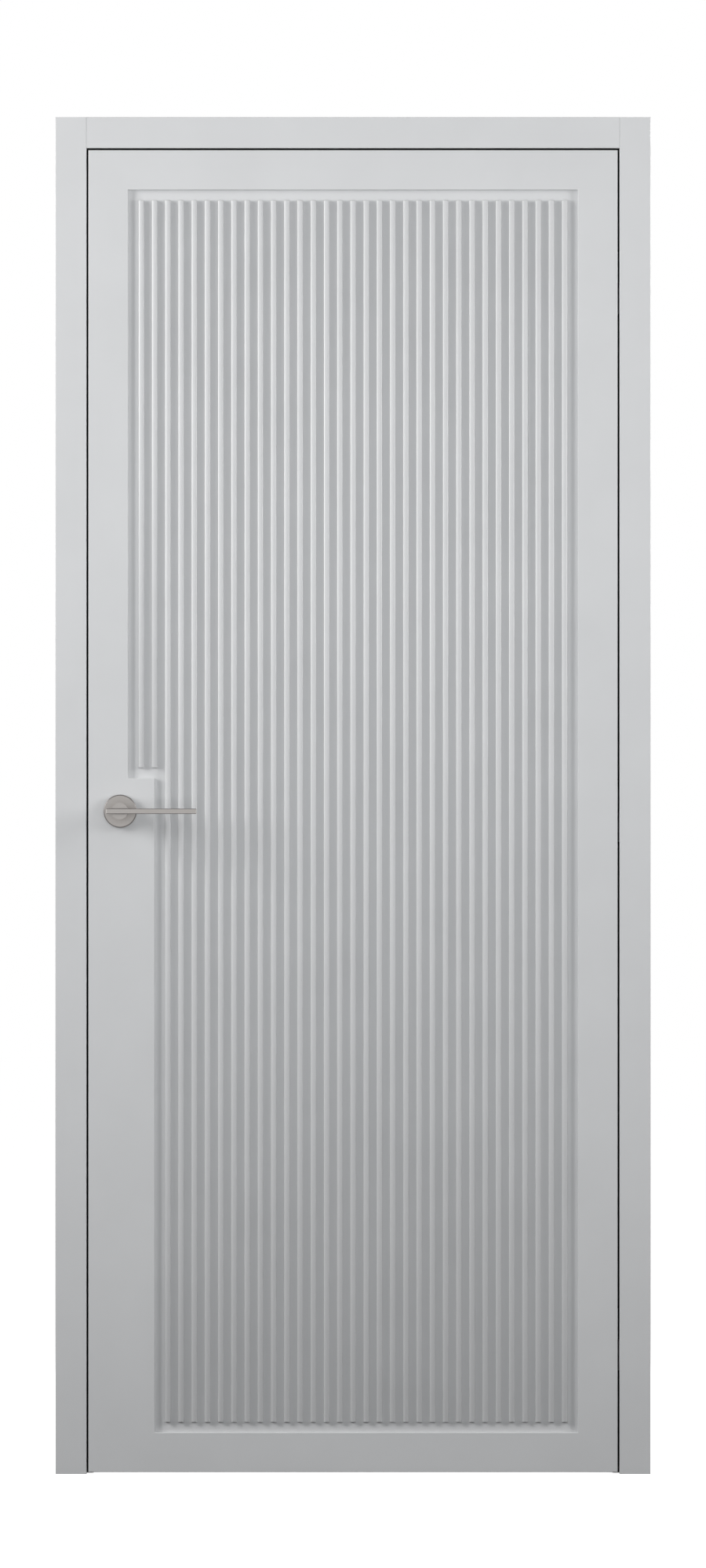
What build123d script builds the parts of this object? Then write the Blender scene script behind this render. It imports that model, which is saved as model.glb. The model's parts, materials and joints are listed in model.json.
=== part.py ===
# Interior door: a flush leaf with a recessed, reeded panel, hung on the right in its frame.
# The leaf opens towards the viewer on three concealed hinges and is worked by a slim lever
# handle on each face. All sizes are in millimetres.
#
# The origin is at floor level on the wall face of the hinge jamb, halfway through the wall.
# +X runs from the doorway into the wall on the hinge side, +Y goes through the doorway away
# from the viewer, and +Z is up.

import os
from math import atan2, degrees, floor, sqrt

from build123d import *

# Leaf
leaf_width = 800
leaf_height = 2000
skin_thickness = 10
core_thickness = 24
leaf_arris = 1
running_gap = 3
floor_gap = 3

# Recess milled into each face of the leaf, with a wider block left for the lock
border_width = 60
lock_block_width = 100
lock_block_top = 1050
recess_depth = 6
recess_arris = 1

# Slender bevelled ribs standing in the recess, level with the face
rib_width = 8
rib_bevel = 2
rib_pitch = 20
rib_margin = 16

# Solid lippings round the core
hinge_stile_width = 60
lock_stile_width = 100
rail_width = 60

# Frame
wall_thickness = 86
jamb_thickness = 40
stop_projection = 10
seal_space = 4

# Casings, tongued into the jambs
casing_width = 47
casing_thickness = 7
casing_arris = 1
back_reveal = 3
tongue_width = 4
tongue_length = 10
tongue_setback = 31
tongue_clearance = 0.2

# Rubber seal: a flange with a hollow bulb in front and a root behind
seal_flange = 1
seal_touch_gap = 0.3
seal_bulb_width = 8
seal_bulb_wall = 0.8
seal_root_width = 2.6
seal_root_length = 4.5
seal_groove_width = 3
seal_groove_depth = 5.5

# Concealed hinges: a cup in each edge and a pair of crossed arms between them.
# The arms and the lines from the swing axis to their pivots make a rhombus, whose side is the
# link length. Each arm therefore turns with the part that it is not pivoted on, and the pin on
# its tail follows an arc of the link length in that part's cup.
hinge_inset = 200
axis_ahead = 1
swing_angle = 100
link_length = 13.8
pivot_inset = 1.7
tail_inset = 12.5
tail_behind_axis = 32.5
arm_width = 4.8
pin_diameter = 2.4
pin_clearance = 0.05
arm_gap = 0.3
cup_width = 27
cup_height = 120
cup_depth = 22
cup_wall = 1
pocket_depth = 19
pocket_end = 47
slot_depth = 3
slot_clearance = 0.15

# Lever handles on a square spindle
lever_height = 1000
backset = 48
rosette_diameter = 50
rosette_thickness = 8
rosette_bevel = 1.5
neck_diameter = 25
neck_length = 32
shank_diameter = 16
shank_clearance = 0.08
lever_seat_gap = 0.3
lever_reach = 116
lever_tail = 20.5
lever_bar_height = 8
lever_bar_depth = 15
lever_bevel = 1
spindle_width = 8
spindle_play = 0.05
socket_depth = 26
spindle_bore = 20

# Magnetic latch in the lock edge
faceplate_width = 18
faceplate_height = 196
faceplate_thickness = 3
case_width = 14
case_height = 160
case_depth = 76
follower_bore = 12
bolt_width = 11
bolt_height = 30
bolt_length = 20
bolt_proud = 0.5
bolt_nose_radius = 2
bolt_play = 0.2

# Strike in the lock jamb
strike_width = 20
strike_height = 140
strike_thickness = 2.5
strike_hole_width = 14
strike_hole_height = 36
strike_box_depth = 16
strike_box_wall = 1.5

# Planes that the pieces share
leaf_thickness = core_thickness + 2 * skin_thickness
front_y = -(wall_thickness / 2 + casing_thickness)
wall_front_y = -wall_thickness / 2
wall_back_y = wall_thickness / 2
leaf_mid_y = front_y + leaf_thickness / 2
leaf_back_y = front_y + leaf_thickness
stop_y = leaf_back_y + seal_space

hinge_rebate_x = -jamb_thickness
leaf_hinge_x = hinge_rebate_x - running_gap
leaf_lock_x = leaf_hinge_x - leaf_width
lock_rebate_x = leaf_lock_x - running_gap
doorway_width = hinge_rebate_x - lock_rebate_x
centre_x = (hinge_rebate_x + lock_rebate_x) / 2
middle_plane = Plane.YZ.offset(centre_x)

leaf_bottom_z = floor_gap
leaf_top_z = leaf_bottom_z + leaf_height
head_rebate_z = leaf_top_z + running_gap
stop_top_z = head_rebate_z - stop_projection

axis_x = (hinge_rebate_x + leaf_hinge_x) / 2
axis_y = front_y - axis_ahead
pivot_offset = running_gap / 2 + pivot_inset
pivot_behind_axis = sqrt(link_length**2 - pivot_offset**2)
pivot_angle = degrees(atan2(pivot_behind_axis, pivot_offset))
lever_x = leaf_lock_x + backset
lever_z = leaf_bottom_z + lever_height

hinge_heights = [
    leaf_bottom_z + hinge_inset,
    (leaf_bottom_z + leaf_top_z) / 2,
    leaf_top_z - hinge_inset,
]

# Sections of the frame are drawn with u outwards from the rebate and y through the wall.
hinge_side = Plane(origin=(hinge_rebate_x, 0, 0), x_dir=(1, 0, 0), z_dir=(0, 0, 1))
head_side = Plane(origin=(hinge_rebate_x, 0, head_rebate_z), x_dir=(0, 0, 1), z_dir=(-1, 0, 0))


def block(x0, x1, y0, y1, z0, z1):
    """A box between two corners."""
    return Pos(x0, y0, z0) * Box(x1 - x0, y1 - y0, z1 - z0, align=(Align.MIN,) * 3)


def patch(u0, u1, y0, y1):
    """A rectangle in a frame section."""
    return Pos(u0, y0) * Rectangle(u1 - u0, y1 - y0, align=(Align.MIN, Align.MIN))


def upright(section, height):
    """A frame section run up the hinge side from the floor."""
    return extrude(hinge_side * section, height)


def across(section, inset=0):
    """A frame section run over the doorway between the two sides."""
    return Pos(-inset, 0, 0) * extrude(head_side * section, doorway_width - 2 * inset)


def mirrored_to_lock_side(piece):
    return mirror(piece, middle_plane)


def mirrored_to_back(piece):
    """The same piece on the other face of the leaf."""
    return mirror(piece, Plane.XZ.offset(-leaf_mid_y))


# Jambs

def jamb_section():
    """A post as deep as the wall, with a stop behind the leaf and grooves for tongues and seal."""
    body = patch(0, jamb_thickness, wall_front_y, wall_back_y)
    stop = patch(-stop_projection, 0, stop_y, wall_back_y)
    groove_start = tongue_setback - tongue_clearance
    groove_end = tongue_setback + tongue_width + tongue_clearance
    groove_length = tongue_length + tongue_clearance
    front_groove = patch(groove_start, groove_end, wall_front_y, wall_front_y + groove_length)
    back_groove = patch(groove_start, groove_end, wall_back_y - groove_length, wall_back_y)
    groove_middle = -stop_projection / 2
    seal_groove = patch(
        groove_middle - seal_groove_width / 2,
        groove_middle + seal_groove_width / 2,
        stop_y,
        stop_y + seal_groove_depth,
    )
    return body + stop - front_groove - back_groove - seal_groove


def side_jamb():
    """The hinge jamb before its mortises, with its stop cut short under the head's stop."""
    jamb = upright(jamb_section(), head_rebate_z + jamb_thickness)
    stop_notch = block(
        hinge_rebate_x - stop_projection,
        hinge_rebate_x,
        stop_y,
        wall_back_y,
        stop_top_z,
        head_rebate_z + jamb_thickness,
    )
    return jamb - stop_notch


def hinge_jamb():
    jamb = side_jamb()
    for z in hinge_heights:
        jamb -= frame_cup_outline(z)
    return jamb


def lock_jamb():
    return mirrored_to_lock_side(side_jamb()) - strike_mortise()


def head_jamb():
    return across(jamb_section())


# Casings

def casing_section(inner_u, near_y, face_y):
    """A flat casing with its two face edges eased and a tongue that enters the jamb's groove."""
    low_y, high_y = sorted((near_y, face_y))
    board = patch(inner_u, casing_width, low_y, high_y)
    face_corners = board.vertices().filter_by(lambda v: abs(v.Y - face_y) < casing_arris / 2)
    board = fillet(face_corners, casing_arris)
    tongue_y = near_y + tongue_length if near_y > face_y else near_y - tongue_length
    low_y, high_y = sorted((near_y, tongue_y))
    tongue = patch(tongue_setback, tongue_setback + tongue_width, low_y, high_y)
    return board + tongue


def front_casing_section():
    return casing_section(0, wall_front_y, front_y)


def back_casing_section():
    return casing_section(back_reveal - stop_projection, wall_back_y, wall_back_y + casing_thickness)


def side_casing(section):
    """A side casing runs up past the head casing, which butts between the two sides."""
    return upright(section, head_rebate_z + casing_width)


# Seals

def seal_section():
    """The bulb stops just short of the leaf, and the root sits in the groove of the stop."""
    middle_u = -stop_projection / 2
    flange = patch(-stop_projection, 0, stop_y - seal_flange, stop_y)
    bulb_height = seal_space - seal_flange - seal_touch_gap
    bulb_edge_y = stop_y - seal_flange
    bulb = Pos(middle_u, bulb_edge_y) * Ellipse(seal_bulb_width / 2, bulb_height)
    hollow = Pos(middle_u, bulb_edge_y) * Ellipse(
        seal_bulb_width / 2 - seal_bulb_wall, bulb_height - seal_bulb_wall
    )
    half = patch(-stop_projection, 0, bulb_edge_y - seal_space, bulb_edge_y)
    root = patch(
        middle_u - seal_root_width / 2,
        middle_u + seal_root_width / 2,
        stop_y,
        stop_y + seal_root_length,
    )
    return flange + root + (bulb & half) - (hollow & half)


def side_seal():
    return upright(seal_section(), stop_top_z)


# Leaf

def leaf_block(s0, s1, y0, y1, h0, h1):
    """A box placed by distance from the lock edge and height above the leaf's bottom edge."""
    return block(leaf_lock_x + s0, leaf_lock_x + s1, y0, y1, leaf_bottom_z + h0, leaf_bottom_z + h1)


def recess_cutter():
    """The recess is full width above the lock block and narrower beside it."""
    floor_y = front_y + recess_depth
    right = leaf_width - border_width
    top = leaf_height - border_width
    above = leaf_block(border_width, right, front_y, floor_y, lock_block_top, top)
    beside = leaf_block(lock_block_width, right, front_y, floor_y, border_width, lock_block_top)
    return above + beside


def front_skin():
    skin = leaf_block(0, leaf_width, front_y, front_y + skin_thickness, 0, leaf_height)
    skin = fillet(skin.faces().sort_by(Axis.Y)[0].edges(), leaf_arris)
    skin -= recess_cutter()
    face_edges = skin.faces().sort_by(Axis.Y)[0].inner_wires()[0].edges()
    skin = fillet(face_edges, recess_arris) - spindle_hole()
    for z in hinge_heights:
        skin -= leaf_cup_outline(z)
    return skin


def rib_section(x):
    """A slat on the recess floor, level with the leaf's face and with its two arrises bevelled."""
    slat = Pos(x, front_y + recess_depth / 2) * Rectangle(rib_width, recess_depth)
    return chamfer(slat.vertices().group_by(Axis.Y)[0], rib_bevel)


def rib_centres():
    """Distances of the ribs from the lock edge, centred in the recess."""
    recess_width = leaf_width - 2 * border_width
    spread = recess_width - 2 * rib_margin - rib_width
    count = floor(spread / rib_pitch) + 1
    first = border_width + (recess_width - (count - 1) * rib_pitch) / 2
    return [first + i * rib_pitch for i in range(count)]


def is_short(s):
    """Ribs over the lock block stop above it."""
    return s - rib_width / 2 < lock_block_width + rib_margin / 2


def front_ribs(short):
    ribs = []
    for s in rib_centres():
        if is_short(s) != short:
            continue
        foot = (lock_block_top if short else border_width) + rib_margin
        height = leaf_height - border_width - rib_margin - foot
        rib = extrude(rib_section(leaf_lock_x + s), height)
        ribs.append(Pos(0, 0, leaf_bottom_z + foot) * rib)
    return Compound(children=ribs)


core_y = (front_y + skin_thickness, front_y + skin_thickness + core_thickness)


def hinge_stile():
    stile = leaf_block(leaf_width - hinge_stile_width, leaf_width, *core_y, 0, leaf_height)
    for z in hinge_heights:
        stile -= leaf_cup_outline(z)
    return stile


def lock_stile():
    stile = leaf_block(0, lock_stile_width, *core_y, 0, leaf_height)
    return stile - latch_mortise() - spindle_hole()


def rail(h0):
    inner = leaf_width - hinge_stile_width
    return leaf_block(lock_stile_width, inner, *core_y, h0, h0 + rail_width)


def core_panel():
    inner = leaf_width - hinge_stile_width
    return leaf_block(lock_stile_width, inner, *core_y, rail_width, leaf_height - rail_width)


# Concealed hinges

# A hinge is drawn about its own middle height and moved up to its place. The frame's arm is
# the lower one, and the leaf's arm above it is its mirror image in the gap.
frame_pivot = (axis_x + pivot_offset, axis_y + pivot_behind_axis)
crossing = (axis_x, axis_y + 2 * pivot_behind_axis)
tail = (leaf_hinge_x - tail_inset, axis_y + tail_behind_axis)
lower_arm = (arm_gap - pocket_end, -arm_gap / 2)
upper_arm = (arm_gap / 2, pocket_end - arm_gap)


def across_gap(piece):
    """The mirror image in the middle of the gap between leaf and jamb."""
    return mirror(piece, Plane.YZ.offset(axis_x))


def at_height(outline, z0, z1):
    return Pos(0, 0, z0) * extrude(outline, z1 - z0)


def disc(centre, diameter):
    return Pos(*centre) * Circle(diameter / 2)


def arm_outline():
    """A goose-necked strip from the pivot through the crossing to the tail."""
    return trace(ThreePointArc(frame_pivot, crossing, tail), arm_width)


def pin(centre, z0, z1):
    return at_height(disc(centre, pin_diameter), z0, z1)


def pin_hole(centre):
    return disc(centre, pin_diameter + 2 * pin_clearance)


def frame_arm():
    """Turns on the frame's pin, carries the crossing pin, and its tail pin runs in the leaf's cup."""
    arm = at_height(arm_outline() - pin_hole(frame_pivot), *lower_arm)
    arm += pin(crossing, lower_arm[0], upper_arm[1])
    return arm + pin(tail, -pocket_end - slot_depth + arm_gap, lower_arm[1])


def leaf_arm():
    """Turns on the leaf's pin and the crossing pin, and its tail pin runs in the frame's cup."""
    arm = at_height(arm_outline() - pin_hole(frame_pivot) - pin_hole(crossing), *upper_arm)
    arm += pin(tail, upper_arm[0], pocket_end + slot_depth - arm_gap)
    return across_gap(arm)


def tail_slot():
    """The arc that a tail pin follows in the leaf's cup from closed to fully open."""
    centre = (tail[0] - pivot_offset, tail[1] - pivot_behind_axis)
    path = CenterArc(centre, link_length, pivot_angle, -swing_angle)
    return SlotArc(path, pin_diameter + 2 * slot_clearance)


def cup_outline(mouth_x, inwards, z):
    """A cup with half-round ends, let into an edge from its mouth."""
    mouth = Plane(origin=(mouth_x, leaf_mid_y, z), x_dir=(0, 0, 1), z_dir=(inwards, 0, 0))
    return extrude(mouth * SlotOverall(cup_height, cup_width), cup_depth)


def frame_cup_outline(z):
    return cup_outline(hinge_rebate_x, 1, z)


def leaf_cup_outline(z):
    return cup_outline(leaf_hinge_x, -1, z)


def pocket(mouth_x, inwards):
    """The room for the arms in a cup."""
    half_width = cup_width / 2 - cup_wall
    x0, x1 = sorted((mouth_x, mouth_x + inwards * pocket_depth))
    return block(x0, x1, leaf_mid_y - half_width, leaf_mid_y + half_width, -pocket_end, pocket_end)


def frame_cup():
    """Its pin stands on the lower end and its slot is in the upper end."""
    cup = frame_cup_outline(0) - pocket(hinge_rebate_x, 1)
    cup -= at_height(across_gap(tail_slot()), pocket_end, pocket_end + slot_depth)
    return cup + pin(frame_pivot, -pocket_end - slot_depth, lower_arm[1])


def leaf_cup():
    """Its pin hangs from the upper end and its slot is in the lower end."""
    cup = leaf_cup_outline(0) - pocket(leaf_hinge_x, -1)
    cup -= at_height(tail_slot(), -pocket_end - slot_depth, -pocket_end)
    return cup + across_gap(pin(frame_pivot, upper_arm[0], pocket_end + slot_depth))


# Lever handles

def turned(radius, y0, y1):
    """A cylinder on the levers' axis, between two planes."""
    near_y = min(y0, y1)
    across_leaf = Plane(origin=(lever_x, near_y, lever_z), x_dir=(1, 0, 0), z_dir=(0, 1, 0))
    return extrude(across_leaf * Circle(radius), abs(y1 - y0))


def square_bar(width, y0, y1):
    """A square bar on the levers' axis, between two planes."""
    across_leaf = Plane(origin=(lever_x, y0, lever_z), x_dir=(1, 0, 0), z_dir=(0, 1, 0))
    return extrude(across_leaf * Rectangle(width, width), y1 - y0)


def spindle_hole():
    return turned(spindle_bore / 2, front_y - rosette_thickness, leaf_back_y + rosette_thickness)


def front_rosette():
    face_y = front_y - rosette_thickness
    rosette = turned(rosette_diameter / 2, face_y, front_y)
    rosette = chamfer(rosette.faces().sort_by(Axis.Y)[0].edges(), rosette_bevel)
    return rosette - turned(shank_diameter / 2 + shank_clearance, face_y, front_y)


def front_lever():
    """A slim bar across a round neck, with a shank that turns in the rosette."""
    seat_y = front_y - rosette_thickness - lever_seat_gap
    bar_back_y = seat_y - neck_length
    bar_front_y = bar_back_y - lever_bar_depth
    bar = block(
        lever_x - lever_tail,
        lever_x + lever_reach,
        bar_front_y,
        bar_back_y,
        lever_z - lever_bar_height / 2,
        lever_z + lever_bar_height / 2,
    )
    bar = chamfer(bar.edges(), lever_bevel)
    neck = turned(neck_diameter / 2, bar_back_y - lever_bar_depth / 2, seat_y)
    shank = turned(shank_diameter / 2, seat_y, front_y)
    socket = square_bar(spindle_width + 2 * spindle_play, front_y - socket_depth, front_y)
    return bar + neck + shank - socket


def spindle():
    return square_bar(spindle_width, front_y - socket_depth, leaf_back_y + socket_depth)


# Latch

def lock_edge_plate(x, inwards, width, height, thickness):
    """A plate with half-round ends, let into an edge at the height of the levers."""
    edge = Plane(origin=(x, leaf_mid_y, lever_z), x_dir=(0, 0, 1), z_dir=(inwards, 0, 0))
    return extrude(edge * SlotOverall(height, width), thickness)


def centred_block(x0, x1, width, height):
    """A box centred on the latch line through the lock edge."""
    return block(
        x0,
        x1,
        leaf_mid_y - width / 2,
        leaf_mid_y + width / 2,
        lever_z - height / 2,
        lever_z + height / 2,
    )


def bolt_slot():
    """The channel that the latch bolt slides in, through the faceplate and into the case."""
    end_x = leaf_lock_x + bolt_length + bolt_play
    return centred_block(leaf_lock_x, end_x, bolt_width + 2 * bolt_play, bolt_height + 2 * bolt_play)


def latch_faceplate():
    plate = lock_edge_plate(leaf_lock_x, 1, faceplate_width, faceplate_height, faceplate_thickness)
    return plate - bolt_slot()


def latch_case():
    back_x = leaf_lock_x + case_depth
    case = centred_block(leaf_lock_x + faceplate_thickness, back_x, case_width, case_height)
    return case - bolt_slot() - turned(follower_bore / 2, *core_y)


def latch_bolt():
    """The magnetic bolt, drawn back so that its nose lies just proud of the lock edge."""
    nose_x = leaf_lock_x - bolt_proud
    bolt = centred_block(nose_x, leaf_lock_x + bolt_length, bolt_width, bolt_height)
    nose_edges = bolt.faces().sort_by(Axis.X)[0].edges().filter_by(Axis.Z)
    return fillet(nose_edges, bolt_nose_radius)


def latch_mortise():
    plate = lock_edge_plate(leaf_lock_x, 1, faceplate_width, faceplate_height, faceplate_thickness)
    back_x = leaf_lock_x + case_depth
    return plate + centred_block(leaf_lock_x + faceplate_thickness, back_x, case_width, case_height)


# Strike

def strike_plate():
    plate = lock_edge_plate(lock_rebate_x, -1, strike_width, strike_height, strike_thickness)
    hole_x = lock_rebate_x - strike_thickness
    return plate - centred_block(hole_x, lock_rebate_x, strike_hole_width, strike_hole_height)


def strike_box_outline():
    front_x = lock_rebate_x - strike_thickness
    wall = 2 * strike_box_wall
    width = strike_hole_width + wall
    return centred_block(front_x - strike_box_depth, front_x, width, strike_hole_height + wall)


def strike_box():
    front_x = lock_rebate_x - strike_thickness
    back_x = front_x - strike_box_depth + strike_box_wall
    return strike_box_outline() - centred_block(back_x, front_x, strike_hole_width, strike_hole_height)


def strike_mortise():
    plate = lock_edge_plate(lock_rebate_x, -1, strike_width, strike_height, strike_thickness)
    return plate + strike_box_outline()


# All the nodes, each written to a file of its own

def frame_nodes():
    front_side = side_casing(front_casing_section())
    back_side = side_casing(back_casing_section())
    hinge_seal = side_seal()
    return {
        "hinge_jamb": hinge_jamb(),
        "lock_jamb": lock_jamb(),
        "head_jamb": head_jamb(),
        "front_casing_hinge_side": front_side,
        "front_casing_lock_side": mirrored_to_lock_side(front_side),
        "front_casing_head": across(front_casing_section()),
        "back_casing_hinge_side": back_side,
        "back_casing_lock_side": mirrored_to_lock_side(back_side),
        "back_casing_head": across(back_casing_section(), inset=stop_projection - back_reveal),
        "hinge_side_seal": hinge_seal,
        "lock_side_seal": mirrored_to_lock_side(hinge_seal),
        "head_seal": across(seal_section()),
        "strike_plate": strike_plate(),
        "strike_box": strike_box(),
    }


def leaf_nodes():
    skin = front_skin()
    short_ribs = front_ribs(short=True)
    long_ribs = front_ribs(short=False)
    rosette = front_rosette()
    return {
        "front_skin": skin,
        "back_skin": mirrored_to_back(skin),
        "front_ribs_over_lock": short_ribs,
        "front_ribs": long_ribs,
        "back_ribs_over_lock": mirrored_to_back(short_ribs),
        "back_ribs": mirrored_to_back(long_ribs),
        "hinge_stile": hinge_stile(),
        "lock_stile": lock_stile(),
        "bottom_rail": rail(0),
        "top_rail": rail(leaf_height - rail_width),
        "core_panel": core_panel(),
        "front_rosette": rosette,
        "back_rosette": mirrored_to_back(rosette),
        "latch_faceplate": latch_faceplate(),
        "latch_case": latch_case(),
        "latch_bolt": latch_bolt(),
    }


def lever_nodes():
    lever = front_lever()
    return {
        "front_lever": lever,
        "back_lever": mirrored_to_back(lever),
        "spindle": spindle(),
    }


def at_each_hinge(solid):
    """One hinge's solid repeated at every hinge height."""
    return Compound(children=[Pos(0, 0, z) * solid for z in hinge_heights])


def hinge_nodes():
    return {
        "frame_hinge_cups": at_each_hinge(frame_cup()),
        "leaf_hinge_cups": at_each_hinge(leaf_cup()),
        "frame_hinge_arms": at_each_hinge(frame_arm()),
        "leaf_hinge_arms": at_each_hinge(leaf_arm()),
    }


os.makedirs("parts", exist_ok=True)
for group in (frame_nodes(), leaf_nodes(), lever_nodes(), hinge_nodes()):
    for node, shape in group.items():
        export_step(shape, f"parts/{node}.step")
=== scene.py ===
# %% [markdown]
# # An interior door with a ribbed panel
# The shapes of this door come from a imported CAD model: frame, casings, leaf, levers and
# concealed hinges. Here the door gets its finishes, the soft crowns of its ribs, its screws,
# and a plain studio. Blender works in metres, so every length below is in metres, and MM
# turns millimetres into them.

# %% Load the frame
import json

import bpy
import numpy as np
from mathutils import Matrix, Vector


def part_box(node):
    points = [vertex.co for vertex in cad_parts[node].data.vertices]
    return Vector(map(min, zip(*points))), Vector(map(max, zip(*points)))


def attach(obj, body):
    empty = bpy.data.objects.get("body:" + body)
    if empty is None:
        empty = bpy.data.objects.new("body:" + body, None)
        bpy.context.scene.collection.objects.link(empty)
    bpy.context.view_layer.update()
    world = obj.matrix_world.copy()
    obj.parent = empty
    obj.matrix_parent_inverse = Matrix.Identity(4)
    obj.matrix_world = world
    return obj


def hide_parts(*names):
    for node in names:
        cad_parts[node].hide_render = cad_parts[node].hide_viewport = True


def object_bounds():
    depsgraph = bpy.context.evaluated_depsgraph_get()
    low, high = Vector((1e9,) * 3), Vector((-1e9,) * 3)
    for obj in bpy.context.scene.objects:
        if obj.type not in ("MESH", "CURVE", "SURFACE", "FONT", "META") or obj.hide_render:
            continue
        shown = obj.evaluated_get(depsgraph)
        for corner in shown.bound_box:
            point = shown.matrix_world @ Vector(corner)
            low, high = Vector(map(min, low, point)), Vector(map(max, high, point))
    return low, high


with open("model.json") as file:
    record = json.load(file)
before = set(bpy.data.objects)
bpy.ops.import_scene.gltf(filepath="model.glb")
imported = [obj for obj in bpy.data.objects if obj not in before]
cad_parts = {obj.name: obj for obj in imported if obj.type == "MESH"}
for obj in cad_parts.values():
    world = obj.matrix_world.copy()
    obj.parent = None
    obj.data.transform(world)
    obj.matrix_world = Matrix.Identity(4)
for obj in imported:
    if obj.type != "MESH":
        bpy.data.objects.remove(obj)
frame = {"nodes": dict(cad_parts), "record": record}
nodes = frame["nodes"]
cad_low, cad_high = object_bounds()
print("CAD nodes:", len(nodes), "height:", round(cad_high.z - cad_low.z, 4))

# %% [markdown]
# ## A helper that turns arrays into a piece
# Every new piece below is a numpy array of points and an array of faces. One helper puts both
# into a mesh, names the piece, and says which body carries it and which slot it is painted
# from. The object stays at the origin and its place is in its points, as in the CAD model.

# %% Mesh from arrays
MM = 0.001


def make_piece(name, points, faces, material, body, smooth=True):
    """A mesh object whose vertices are the rows of points and whose faces index those rows."""
    mesh = bpy.data.meshes.new(name)
    mesh.from_pydata(np.asarray(points, float).reshape(-1, 3).tolist(), [], faces)
    mesh.validate()
    mesh.polygons.foreach_set("use_smooth", np.full(len(mesh.polygons), smooth))
    mesh.materials.append(material)
    mesh.update()
    piece = bpy.data.objects.new(name, mesh)
    bpy.context.scene.collection.objects.link(piece)
    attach(piece, body)
    return piece


# %% [markdown]
# ## The materials
# The door shows four finishes: sprayed satin enamel, black rubber, satin nickel on the
# handles, and plain satin steel on the latch and hinges. Its core is board. Each is a
# Principled shader whose small unevenness comes from noise on Object coordinates, so nothing
# has to be unwrapped.

# %% A shader and its noise
def new_material(name, colour, roughness, metallic=0.0):
    """A Principled material, and the nodes that a finish is added to."""
    material = bpy.data.materials.new(name)
    material.use_nodes = True
    shader = material.node_tree.nodes["Principled BSDF"]
    shader.inputs["Base Color"].default_value = (*colour, 1)
    shader.inputs["Roughness"].default_value = roughness
    shader.inputs["Metallic"].default_value = metallic
    return material, material.node_tree, shader


def add_noise(tree, size, detail=2.0, stretch=(1, 1, 1)):
    """Noise whose blobs are about size metres across, drawn out along an axis by stretch."""
    place = tree.nodes.new("ShaderNodeTexCoord")
    mapping = tree.nodes.new("ShaderNodeMapping")
    mapping.inputs["Scale"].default_value = tuple(1 / (size * s) for s in stretch)
    noise = tree.nodes.new("ShaderNodeTexNoise")
    noise.inputs["Scale"].default_value = 1.0
    noise.inputs["Detail"].default_value = detail
    tree.links.new(place.outputs["Object"], mapping.inputs["Vector"])
    tree.links.new(mapping.outputs["Vector"], noise.inputs["Vector"])
    return noise.outputs["Fac"]


# %% Tone, sheen and grain from the noise
NOISE_LOW = 0.3
NOISE_HIGH = 0.7


def vary(tree, source, low, high, socket):
    """The noise, stretched from its middle range to run from low to high, drives a socket."""
    ramp = tree.nodes.new("ShaderNodeMapRange")
    ramp.inputs["From Min"].default_value = NOISE_LOW
    ramp.inputs["From Max"].default_value = NOISE_HIGH
    ramp.inputs["To Min"].default_value = low
    ramp.inputs["To Max"].default_value = high
    tree.links.new(source, ramp.inputs["Value"])
    tree.links.new(ramp.outputs["Result"], socket)


def mottle(tree, source, dark, light, socket):
    """The colour runs from dark to light with the noise."""
    mix = tree.nodes.new("ShaderNodeMix")
    mix.data_type = "RGBA"
    mix.inputs["A"].default_value = (*dark, 1)
    mix.inputs["B"].default_value = (*light, 1)
    vary(tree, source, 0.0, 1.0, mix.inputs["Factor"])
    tree.links.new(mix.outputs["Result"], socket)


def roughen(tree, shader, source, height):
    """The noise stands height metres proud of the surface."""
    bump = tree.nodes.new("ShaderNodeBump")
    bump.inputs["Strength"].default_value = 1.0
    bump.inputs["Distance"].default_value = height
    tree.links.new(source, bump.inputs["Height"])
    tree.links.new(bump.outputs["Normal"], shader.inputs["Normal"])


# %% [markdown]
# ### Satin enamel
# The leaf, the jambs and the casings are sprayed with a light grey enamel. A spray coat dries
# with a very shallow orange peel a few millimetres across, and its sheen is not quite even. One
# flat colour would look like plastic, so three noises of their own sizes vary the tone, the
# sheen and the surface.

# %% Enamel
ENAMEL_LIGHT = (0.640, 0.641, 0.646)
ENAMEL_DARK = (0.620, 0.621, 0.626)
TONE_SIZE = 90 * MM
SHEEN_SIZE = 40 * MM
ENAMEL_ROUGHNESS = (0.31, 0.36)
PEEL_SIZE = 2.5 * MM
PEEL_HEIGHT = 0.012 * MM

enamel, tree, shader = new_material("satin_enamel", ENAMEL_LIGHT, 0.33)
tone = add_noise(tree, TONE_SIZE, detail=3.0)
mottle(tree, tone, ENAMEL_DARK, ENAMEL_LIGHT, shader.inputs["Base Color"])
vary(tree, add_noise(tree, SHEEN_SIZE), *ENAMEL_ROUGHNESS, shader.inputs["Roughness"])
roughen(tree, shader, add_noise(tree, PEEL_SIZE, detail=1.0), PEEL_HEIGHT)
print("enamel tones:", ENAMEL_DARK, "to", ENAMEL_LIGHT)

# %% [markdown]
# ### Black rubber
# The seals are extruded rubber, matt black with a fine grain. Their sheen wanders a little
# over a few millimetres, so it gets a wider noise than the grain.

# %% Rubber
RUBBER_BLACK = (0.012, 0.012, 0.012)
RUBBER_SHEEN_SIZE = 6 * MM
RUBBER_ROUGHNESS = (0.62, 0.8)
GRAIN_SIZE = 0.8 * MM
GRAIN_HEIGHT = 0.02 * MM

rubber, tree, shader = new_material("black_rubber", RUBBER_BLACK, 0.7)
vary(tree, add_noise(tree, RUBBER_SHEEN_SIZE), *RUBBER_ROUGHNESS, shader.inputs["Roughness"])
roughen(tree, shader, add_noise(tree, GRAIN_SIZE, detail=1.0), GRAIN_HEIGHT)
print("rubber grain:", round(GRAIN_SIZE / MM, 2), "mm")

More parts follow.
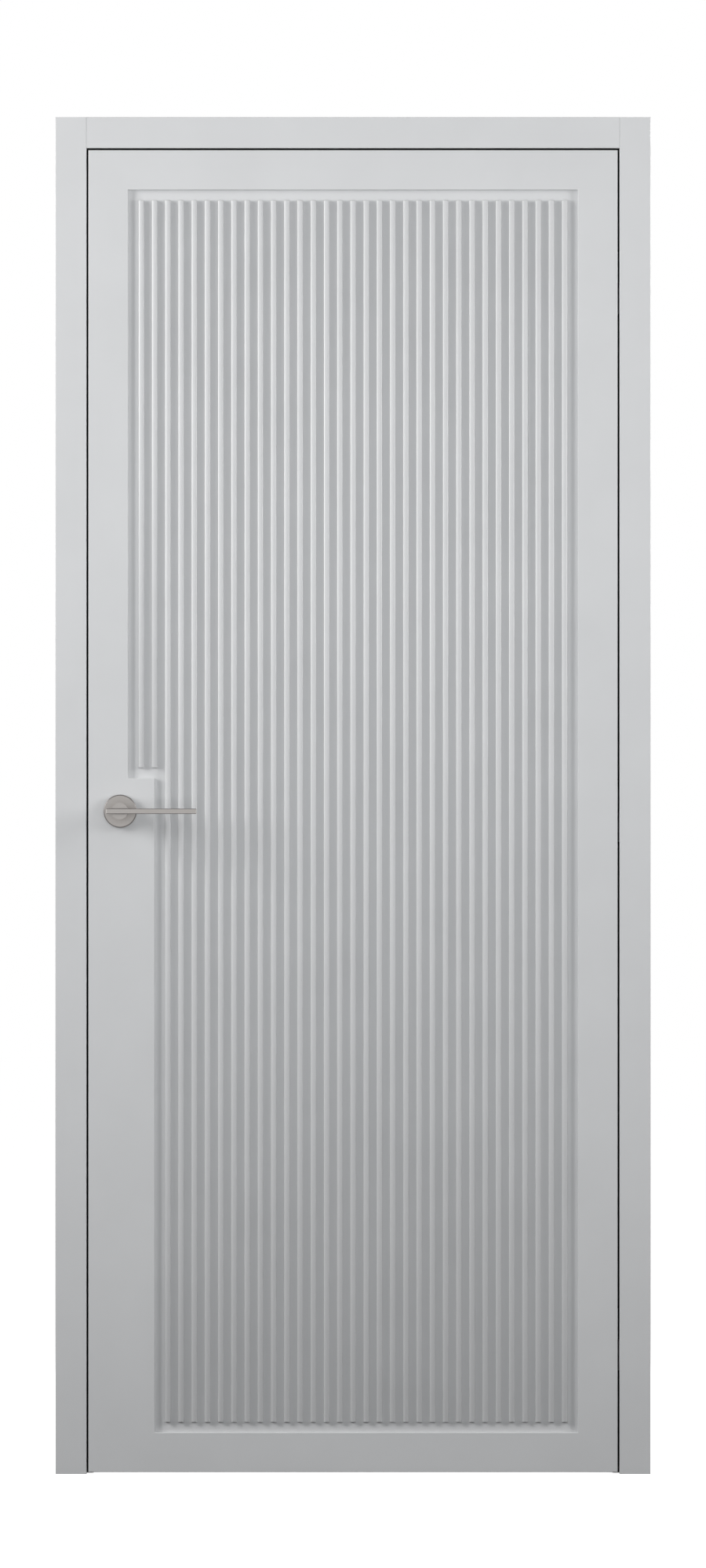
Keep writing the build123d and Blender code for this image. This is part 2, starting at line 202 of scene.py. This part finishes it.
# %% [markdown]
# ### Satin nickel
# The handles are brushed along the lever and then plated with nickel, so their noise is drawn
# out along that way. Their eased edges look darker than their faces because they lie in shade.
# In this studio such an edge would mirror the white background, so that shade is painted: the
# colour itself is darker where a point lies as far from the lever's axis as the edge does.

# %% Nickel
NICKEL_LIGHT = (0.43, 0.41, 0.395)
NICKEL_DARK = (0.395, 0.375, 0.36)
# The edge colour below is painted shade for the eased edges of the handles.
NICKEL_EDGE_SHADE = (0.19, 0.18, 0.175)
NICKEL_ROUGHNESS = (0.28, 0.42)
NICKEL_BRUSH_SIZE = 0.35 * MM
SCRATCH_LENGTH = 40
SCRATCH_HEIGHT = 0.004 * MM


def satin_nickel(name, axis, scale, distance, half_width):
    """Brushed nickel with painted shade on its eased edges: darker where a point's scaled
    distance from the lever's axis lies within half_width of the given distance, which is where
    an edge is eased."""
    material, tree, shader = new_material(name, NICKEL_LIGHT, 0.34, 1.0)
    brushing = add_noise(tree, NICKEL_BRUSH_SIZE, stretch=(SCRATCH_LENGTH, 1, 1))
    place = tree.nodes.new("ShaderNodeTexCoord")
    from_axis = tree.nodes.new("ShaderNodeVectorMath")
    from_axis.operation = "SUBTRACT"
    from_axis.inputs[1].default_value = axis
    across = tree.nodes.new("ShaderNodeVectorMath")
    across.operation = "MULTIPLY"
    across.inputs[1].default_value = scale
    length = tree.nodes.new("ShaderNodeVectorMath")
    length.operation = "LENGTH"
    edge = tree.nodes.new("ShaderNodeMath")
    edge.operation = "COMPARE"
    edge.inputs[1].default_value = distance
    edge.inputs[2].default_value = half_width
    tree.links.new(place.outputs["Object"], from_axis.inputs[0])
    tree.links.new(from_axis.outputs[0], across.inputs[0])
    tree.links.new(across.outputs[0], length.inputs[0])
    tree.links.new(length.outputs["Value"], edge.inputs[0])
    # This mix lays the painted shade of the eased edge over the brushed tone.
    plating_and_edge_shade = tree.nodes.new("ShaderNodeMix")
    plating_and_edge_shade.data_type = "RGBA"
    mottle(tree, brushing, NICKEL_DARK, NICKEL_LIGHT, plating_and_edge_shade.inputs["A"])
    plating_and_edge_shade.inputs["B"].default_value = (*NICKEL_EDGE_SHADE, 1)
    tree.links.new(edge.outputs[0], plating_and_edge_shade.inputs["Factor"])
    tree.links.new(plating_and_edge_shade.outputs["Result"], shader.inputs["Base Color"])
    vary(tree, brushing, *NICKEL_ROUGHNESS, shader.inputs["Roughness"])
    roughen(tree, shader, brushing, SCRATCH_HEIGHT)
    return material


# %% Nickel on the rosette and on the lever
# Where the painted edge shade lies: its distance from the lever's axis and its half width.
ROSETTE_RIM = 24.5 * MM
ROSETTE_RIM_HALF_WIDTH = 1.1 * MM
LEVER_EDGE = 3.6 * MM
LEVER_EDGE_HALF_WIDTH = 0.55 * MM
ROUND_THE_AXIS = (1, 0, 1)
ABOVE_THE_AXIS = (0, 0, 1)

rosette_low, rosette_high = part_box("front_rosette")
lever_axis = (rosette_low + rosette_high) / 2
rosette_nickel = satin_nickel(
    "rosette_nickel", lever_axis, ROUND_THE_AXIS, ROSETTE_RIM, ROSETTE_RIM_HALF_WIDTH
)
lever_nickel = satin_nickel(
    "lever_nickel", lever_axis, ABOVE_THE_AXIS, LEVER_EDGE, LEVER_EDGE_HALF_WIDTH
)
print("lever axis:", [round(v, 4) for v in lever_axis])

# %% [markdown]
# ### Satin steel and core board
# The latch, the strike and the hinges are steel brushed along their height, so the same noise
# is drawn out along Z. The core of the leaf is a board, which no side shows. It still gets
# its long fibres, for anyone who takes the door apart.

# %% Steel and board
STEEL_LIGHT = (0.53, 0.53, 0.54)
STEEL_DARK = (0.46, 0.46, 0.47)
STEEL_ROUGHNESS = (0.32, 0.46)
STEEL_BRUSH_SIZE = 0.4 * MM

steel, tree, shader = new_material("satin_steel", STEEL_LIGHT, 0.38, 1.0)
brushing = add_noise(tree, STEEL_BRUSH_SIZE, stretch=(1, 1, SCRATCH_LENGTH))
mottle(tree, brushing, STEEL_DARK, STEEL_LIGHT, shader.inputs["Base Color"])
vary(tree, brushing, *STEEL_ROUGHNESS, shader.inputs["Roughness"])
roughen(tree, shader, brushing, SCRATCH_HEIGHT)

BOARD = (0.42, 0.31, 0.19)
BOARD_DARK = (0.33, 0.24, 0.15)
BOARD_LIGHT = (0.48, 0.36, 0.23)
FIBRE_SIZE = 3 * MM
FIBRE_LENGTH = 6
FIBRE_HEIGHT = 0.2 * MM

core_board, tree, shader = new_material("core_board", BOARD, 0.85)
fibres = add_noise(tree, FIBRE_SIZE, detail=4.0, stretch=(1, 1, FIBRE_LENGTH))
mottle(tree, fibres, BOARD_DARK, BOARD_LIGHT, shader.inputs["Base Color"])
roughen(tree, shader, fibres, FIBRE_HEIGHT)
print("materials:", len(bpy.data.materials))

# %% [markdown]
# ### Painting the CAD nodes
# The imported record says which slot each node belongs to, so one table from slot to material
# paints them all. The rosettes get their own nickel, because the painted shade on their eased
# edge is a circle and on the lever it is a pair of straight lines.

# %% Paint the nodes
FINISH_OF_SLOT = {
    "enamel": enamel,
    "seal_rubber": rubber,
    "satin_nickel": lever_nickel,
    "latch_steel": steel,
    "hinge_metal": steel,
    "core_board": core_board,
}
for subpart in frame["record"]["subparts"]:
    painted = nodes[subpart["node"]].data.materials
    painted.clear()
    painted.append(FINISH_OF_SLOT[subpart["material_slot"]])
for rosette in ("front_rosette", "back_rosette"):
    nodes[rosette].data.materials[0] = rosette_nickel

# %% [markdown]
# ## The ribs
# The ribs stand on the floor of the recess, and their tops are level with the door's face. On
# a real door they are slats that are glued down there, or they are milled from the panel
# together with the recess. Their crown is a shallow arc, which catches the light on one side
# and lets it fall away on the other. The CAD ribs have plain bevels. A bevel modifier would
# only round their edges, so here each rib is a profile carried along its height, and all the
# ribs of one node are one array.

# %% The section of a rib
RIB_PITCH = 20 * MM
RIB_WIDTH = 8 * MM
CROWN_RISE = 1.2 * MM
ARRIS_DROP = 0.5 * MM
ARRIS_POWER = 14
CROWN_POINTS = 19


def rib_section(width, height, outwards):
    """A shallow crown on two straight sides. From the middle, t = |x| / half width, the crown
    falls by the rise times t ** 2, and close to the sides by the arris drop times t ** 14."""
    t = np.sin(np.linspace(-np.pi / 2, np.pi / 2, CROWN_POINTS))
    x = width / 2 * t
    y = height - CROWN_RISE * t**2 - ARRIS_DROP * np.abs(t) ** ARRIS_POWER
    x = np.concatenate([[-width / 2], x, [width / 2]])
    y = np.concatenate([[0], y, [0]])
    return x, outwards * y


# %% The rings along a rib
END_ROUND = 0.4 * MM
END_RINGS = 3


def rib_rings(bottom, top):
    """Heights of the rings along a rib, and how far each is drawn in. Near both ends the rings
    follow a quarter circle, so the cut ends have a small round."""
    turn = np.linspace(0, np.pi / 2, END_RINGS)
    rise = END_ROUND * (1 - np.cos(turn))
    inset = END_ROUND * (1 - np.sin(turn))
    heights = np.concatenate([bottom + rise, (top - rise)[::-1]])
    return heights, np.concatenate([inset, inset[::-1]])


# %% Rib surfaces
def crowned_ribs(node, outwards):
    """Ribs in the place of a CAD node's ribs, as the product of all centres, rings and section
    points. The drawn-in rings are scaled about the middle of the rib's foot."""
    low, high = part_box(node)
    height = high.y - low.y
    count = round((high.x - low.x - RIB_WIDTH) / RIB_PITCH) + 1
    centres = low.x + RIB_WIDTH / 2 + RIB_PITCH * np.arange(count)
    floor_y = high.y if outwards < 0 else low.y
    x, y = rib_section(RIB_WIDTH, height, outwards)
    z, inset = rib_rings(low.z, high.z)
    shrink_x, shrink_y = 1 - inset / (RIB_WIDTH / 2), 1 - inset / height
    points = np.empty((count, len(z), len(x), 3))
    points[..., 0] = centres[:, None, None] + (shrink_x[:, None] * x)[None]
    points[..., 1] = floor_y + (shrink_y[:, None] * y)[None]
    points[..., 2] = z[None, :, None]
    rib, ring, step = np.meshgrid(
        np.arange(count), np.arange(len(z) - 1), np.arange(len(x)), indexing="ij"
    )
    after = (step + 1) % len(x)
    corner = (rib * len(z) + ring) * len(x)
    sides = np.stack(
        [corner + step, corner + after, corner + len(x) + after, corner + len(x) + step], axis=-1
    ).reshape(-1, 4)
    loop = np.arange(len(x))
    starts = np.arange(count)[:, None] * len(z) * len(x)
    bottoms = starts + loop[::-1]
    tops = starts + (len(z) - 1) * len(x) + loop
    if outwards > 0:
        sides, bottoms, tops = sides[:, ::-1], bottoms[:, ::-1], tops[:, ::-1]
    faces = sides.tolist() + bottoms.tolist() + tops.tolist()
    piece = make_piece(node + "_crowned", points, faces, enamel, "leaf")
    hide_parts(node)
    print(piece.name, "ribs:", count, "length:", round(high.z - low.z, 4))


crowned_ribs("front_ribs", -1)
crowned_ribs("front_ribs_over_lock", -1)
crowned_ribs("back_ribs", 1)
crowned_ribs("back_ribs_over_lock", 1)

# %% [markdown]
# ## The screws
# Hinge cups, faceplate and strike are each held by countersunk screws with slightly raised
# heads, which show when the door stands open. A screw head is a lathe shape: a profile of
# radius and height turned about the screw's axis. A cross cut with a boolean would leave
# ragged faces in so small a head, so the points that lie inside two bars are lowered instead.

# %% The cross in a screw head
CROSS_HALF_WIDTH = 0.16
CROSS_REACH = 0.62
CROSS_WALL = 0.05


def inside(limit, value):
    """1 where a value is well within the limit either way, 0 outside, sloping at the wall."""
    return np.clip((limit - np.abs(value)) / CROSS_WALL, 0, 1)


def cross_share(y, z):
    """How deep points lie in the cross, from 0 outside both bars to 1 on the floor of either.
    All its measures, and y and z, are shares of the head's radius."""
    upright = inside(CROSS_HALF_WIDTH, y) * inside(CROSS_REACH, z)
    level = inside(CROSS_HALF_WIDTH, z) * inside(CROSS_REACH, y)
    return np.maximum(upright, level)


# %% Screw heads
SCREW_TURNS = 48
SCREW_RINGS = 22
DOME_HEIGHT = 0.6 * MM
DOME_POWER = 4
RIM_DEPTH = 0.3 * MM
CROSS_DEPTH = 0.45 * MM


def screw_heads(name, centres, outwards, radius, body):
    """Heads on planes that face along X. With s as the share of the radius, the height over
    the plane is a flat dome, dome height * (1 - s ** 4), less the cross where it is sunk."""
    centres = np.asarray(centres, float)
    turn = np.linspace(0, 2 * np.pi, SCREW_TURNS, endpoint=False)
    share, around = np.meshgrid(np.linspace(0, 1, SCREW_RINGS)[1:], turn, indexing="ij")
    y, z = share * np.cos(around), share * np.sin(around)
    height = DOME_HEIGHT * (1 - share**DOME_POWER) - CROSS_DEPTH * cross_share(y, z)
    dome = np.stack([height, radius * y, radius * z], -1).reshape(-1, 3)
    rim_x = np.full(SCREW_TURNS, -RIM_DEPTH)
    rim = np.stack([rim_x, radius * np.cos(turn), radius * np.sin(turn)], -1)
    centre_point = [[DOME_HEIGHT - CROSS_DEPTH, 0, 0]]
    back_point = [[-RIM_DEPTH, 0, 0]]
    head = np.concatenate([centre_point, dome, rim, back_point])
    head[:, 0] *= outwards
    points = centres[:, None, :] + head[None]
    step = np.arange(SCREW_TURNS)
    after = (step + 1) % SCREW_TURNS
    fan = np.stack([np.zeros_like(step), 1 + step, 1 + after], -1)
    ring = 1 + SCREW_TURNS * np.arange(SCREW_RINGS - 1)[:, None]
    outer = ring + SCREW_TURNS
    bands = np.stack([ring + step, outer + step, outer + after, ring + after], -1).reshape(-1, 4)
    last = 1 + SCREW_TURNS * (SCREW_RINGS - 1)
    back = np.stack([np.full_like(step, len(head) - 1), last + after, last + step], -1)
    if outwards < 0:
        fan, bands, back = fan[:, ::-1], bands[:, ::-1], back[:, ::-1]
    shift = len(head) * np.arange(len(centres))[:, None, None]
    faces = []
    for part in (fan, bands, back):
        faces += (part[None] + shift).reshape(-1, part.shape[1]).tolist()
    make_piece(name, points, faces, steel, body, smooth=False)
    print(name, "screws:", len(centres))


# %% [markdown]
# ### The screws of the hinges
# Each cup is held by one screw above and one below its middle, in the jamb and in the leaf.
# Their heads lie on the faces that look into the gap, where the boxes of the cups end.

# %% Hinge screws
HINGE_COUNT = 3
CUP_HEIGHT = 120 * MM
CUP_SCREW = 53.5 * MM
CUP_SCREW_RADIUS = 3.6 * MM

cups_low, cups_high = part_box("frame_hinge_cups")
frame_cup_x = cups_low.x
leaf_cup_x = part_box("leaf_hinge_cups")[1].x
cup_y = (cups_low.y + cups_high.y) / 2
lowest_cup, highest_cup = cups_low.z + CUP_HEIGHT / 2, cups_high.z - CUP_HEIGHT / 2
cup_middles = np.linspace(lowest_cup, highest_cup, HINGE_COUNT)
cup_screw_z = np.concatenate([cup_middles - CUP_SCREW, cup_middles + CUP_SCREW])
screw_heads("frame_cup_screws", [(frame_cup_x, cup_y, z) for z in cup_screw_z], -1,
            CUP_SCREW_RADIUS, "frame")
screw_heads("leaf_cup_screws", [(leaf_cup_x, cup_y, z) for z in cup_screw_z], 1,
            CUP_SCREW_RADIUS, "leaf")

# %% [markdown]
# ### The screws of the latch
# The faceplate in the leaf's edge and the strike in the jamb each have a screw near both ends,
# on the middle line of the plate.

# %% Latch screws
FACEPLATE_SCREW = 89 * MM
STRIKE_SCREW = 59 * MM
LATCH_SCREW_RADIUS = 3.2 * MM

plate_low, plate_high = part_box("latch_faceplate")
strike_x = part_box("strike_plate")[1].x
latch_y = (plate_low.y + plate_high.y) / 2
latch_z = (plate_low.z + plate_high.z) / 2
faceplate_screw_z = (latch_z - FACEPLATE_SCREW, latch_z + FACEPLATE_SCREW)
strike_screw_z = (latch_z - STRIKE_SCREW, latch_z + STRIKE_SCREW)
screw_heads("faceplate_screws", [(plate_low.x, latch_y, z) for z in faceplate_screw_z], -1,
            LATCH_SCREW_RADIUS, "leaf")
screw_heads("strike_screws", [(strike_x, latch_y, z) for z in strike_screw_z], 1,
            LATCH_SCREW_RADIUS, "frame")

# %% [markdown]
# ## The studio
# The door stands on a plain pale floor before a white background. The floor throws back
# little light, so the foot of the door stays dim as in the photo. A lamp strong enough to make
# it white would also wash out the door, so it glows for the camera and for mirrored rays
# alone. The glow is close to white by itself, so the door's shadow on it hardly shows.

# %% Floor
FLOOR_REACH = 30.0
FLOOR_SEEN = (0.7, 0.7, 0.7)
FLOOR_BOUNCE = (0.06, 0.06, 0.06)
FLOOR_GLOW = (0.93, 0.93, 0.93)
middle_x = (cad_low.x + cad_high.x) / 2


def camera_ray(tree, also_mirrors=False):
    """1 for what the camera sees, and for mirrored and transmitted rays too if asked."""
    path = tree.nodes.new("ShaderNodeLightPath")
    seen = path.outputs["Is Camera Ray"]
    if also_mirrors:
        for extra in ("Is Glossy Ray", "Is Transmission Ray"):
            either = tree.nodes.new("ShaderNodeMath")
            either.operation = "MAXIMUM"
            tree.links.new(seen, either.inputs[0])
            tree.links.new(path.outputs[extra], either.inputs[1])
            seen = either.outputs[0]
    return seen


floor_paint = bpy.data.materials.new("pale_floor")
floor_paint.use_nodes = True
tree = floor_paint.node_tree
tree.nodes.remove(tree.nodes["Principled BSDF"])
matt = tree.nodes.new("ShaderNodeBsdfDiffuse")
shade = tree.nodes.new("ShaderNodeMix")
shade.data_type = "RGBA"
shade.inputs["A"].default_value = (*FLOOR_BOUNCE, 1)
shade.inputs["B"].default_value = (*FLOOR_SEEN, 1)
tree.links.new(camera_ray(tree), shade.inputs["Factor"])
tree.links.new(shade.outputs["Result"], matt.inputs["Color"])
glow = tree.nodes.new("ShaderNodeEmission")
glow.inputs["Color"].default_value = (*FLOOR_GLOW, 1)
tree.links.new(camera_ray(tree, also_mirrors=True), glow.inputs["Strength"])
both = tree.nodes.new("ShaderNodeAddShader")
tree.links.new(matt.outputs[0], both.inputs[0])
tree.links.new(glow.outputs[0], both.inputs[1])
tree.links.new(both.outputs[0], tree.nodes["Material Output"].inputs["Surface"])

corners = np.array([[-1, -1, 0], [1, -1, 0], [1, 1, 0], [-1, 1, 0]]) * FLOOR_REACH
floor_mesh = bpy.data.meshes.new("floor")
floor_mesh.from_pydata((corners + [middle_x, 0, 0]).tolist(), [], [[0, 1, 2, 3]])
floor_mesh.materials.append(floor_paint)
floor = bpy.data.objects.new("floor", floor_mesh)
bpy.context.scene.collection.objects.link(floor)
print("floor:", 2 * FLOOR_REACH, "m across")

# %% [markdown]
# ### The sky
# A white backdrop could be a sheet behind the door, but it would end somewhere in other views.
# The world goes all round, so it is the backdrop. It shows white to the camera and to mirrored
# rays, and gives only a little even light.

# %% Sky
SKY_LEVEL = 0.1
world = bpy.data.worlds.new("studio")
bpy.context.scene.world = world
world.use_nodes = True
tree = world.node_tree
sky = tree.nodes["Background"]
sky.inputs["Color"].default_value = (1, 1, 1, 1)
level = tree.nodes.new("ShaderNodeMapRange")
level.inputs["To Min"].default_value = SKY_LEVEL
level.inputs["To Max"].default_value = 1.0
tree.links.new(camera_ray(tree, also_mirrors=True), level.inputs["Value"])
tree.links.new(level.outputs["Result"], sky.inputs["Strength"])
print("sky gives light at", SKY_LEVEL, "and shows at 1")

# %% [markdown]
# ### The soft boxes
# A tall soft box stands well off to each side and only a little in front, because only light
# that rakes the face leaves the floor of the recess dim and picks out the sides of the ribs.
# Both are aimed above the door, so its foot stays dim as in the photo. A large weak box in
# front fills the rest. It is not mirrored, so the handles show the white background. Two more
# boxes light the back, which the photo doesn't show. Areas are used and not points, because
# their shadows are soft.

# %% Soft boxes
def soft_box(name, place, target, width, height, power, colour=(1, 1, 1), mirrored=True):
    """An area light at a place, turned to look at its target. It shows in glossy surfaces
    unless mirrored is False."""
    light = bpy.data.lights.new(name, "AREA")
    light.shape = "RECTANGLE"
    light.size, light.size_y, light.energy = width, height, power
    light.color = colour
    lamp = bpy.data.objects.new(name, light)
    bpy.context.scene.collection.objects.link(lamp)
    lamp.location = place
    towards = Vector(target) - Vector(place)
    lamp.rotation_mode = "QUATERNION"
    lamp.rotation_quaternion = towards.to_track_quat("-Z", "Y")
    lamp.visible_camera = False
    lamp.visible_glossy = mirrored
    print(name, "is", round(towards.length, 2), "m from where it looks")


BLUISH = (0.95, 0.98, 1.0)
front_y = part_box("front_skin")[0].y
back_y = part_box("back_skin")[1].y
above_head = (middle_x, front_y, 3.2)
front_chest = (middle_x, front_y, 1.75)
back_chest = (middle_x, back_y, 1.2)
soft_box("key_box", (middle_x - 3.55, front_y - 1.35, 2.6), above_head,
         width=1.0, height=2.4, power=142)
soft_box("side_box", (middle_x + 3.6, front_y - 1.4, 2.35), above_head,
         width=1.0, height=2.0, power=90)
soft_box("front_box", (middle_x, front_y - 1.9, 1.5), front_chest,
         width=2.2, height=2.2, power=23.5, colour=BLUISH, mirrored=False)
soft_box("back_key_box", (middle_x + 2.2, back_y + 2.6, 2.2), back_chest,
         width=1.2, height=1.6, power=85)
soft_box("back_side_box", (middle_x - 1.0, back_y + 3.0, 2.0), back_chest,
         width=1.2, height=1.6, power=42)

# %% [markdown]
# ## The camera
# The photograph is taken level and straight on with a long lens: the neck of the handle hides
# its own side, and the black seal shows at the bottom of the 3 mm gap on both sides of the
# leaf and over it. So the camera stands 20 m away. The frame is 900 mm wide over its casings
# and fills 759 of the 900 pixels, which gives the lens from the distance, and the row that the
# door's foot is on gives the camera's height.

# %% Camera
PICTURE_HEIGHT = 2000
PIXELS_PER_METRE = 843.2
FOOT_ROW = 1880.4
DISTANCE = 20.0
SENSOR = 36.0

camera = bpy.data.cameras.new("camera")
camera.sensor_width = SENSOR
camera.lens = SENSOR * PIXELS_PER_METRE * DISTANCE / PICTURE_HEIGHT
view_point = bpy.data.objects.new("camera", camera)
bpy.context.scene.collection.objects.link(view_point)
eye_height = (FOOT_ROW - PICTURE_HEIGHT / 2) / PIXELS_PER_METRE
view_point.location = (middle_x, front_y - DISTANCE, eye_height)
view_point.rotation_euler = (np.pi / 2, 0, 0)
bpy.context.scene.camera = view_point
bpy.context.scene.view_settings.view_transform = "Standard"
print("lens:", round(camera.lens, 2), "mm, eye height:", round(eye_height, 3))
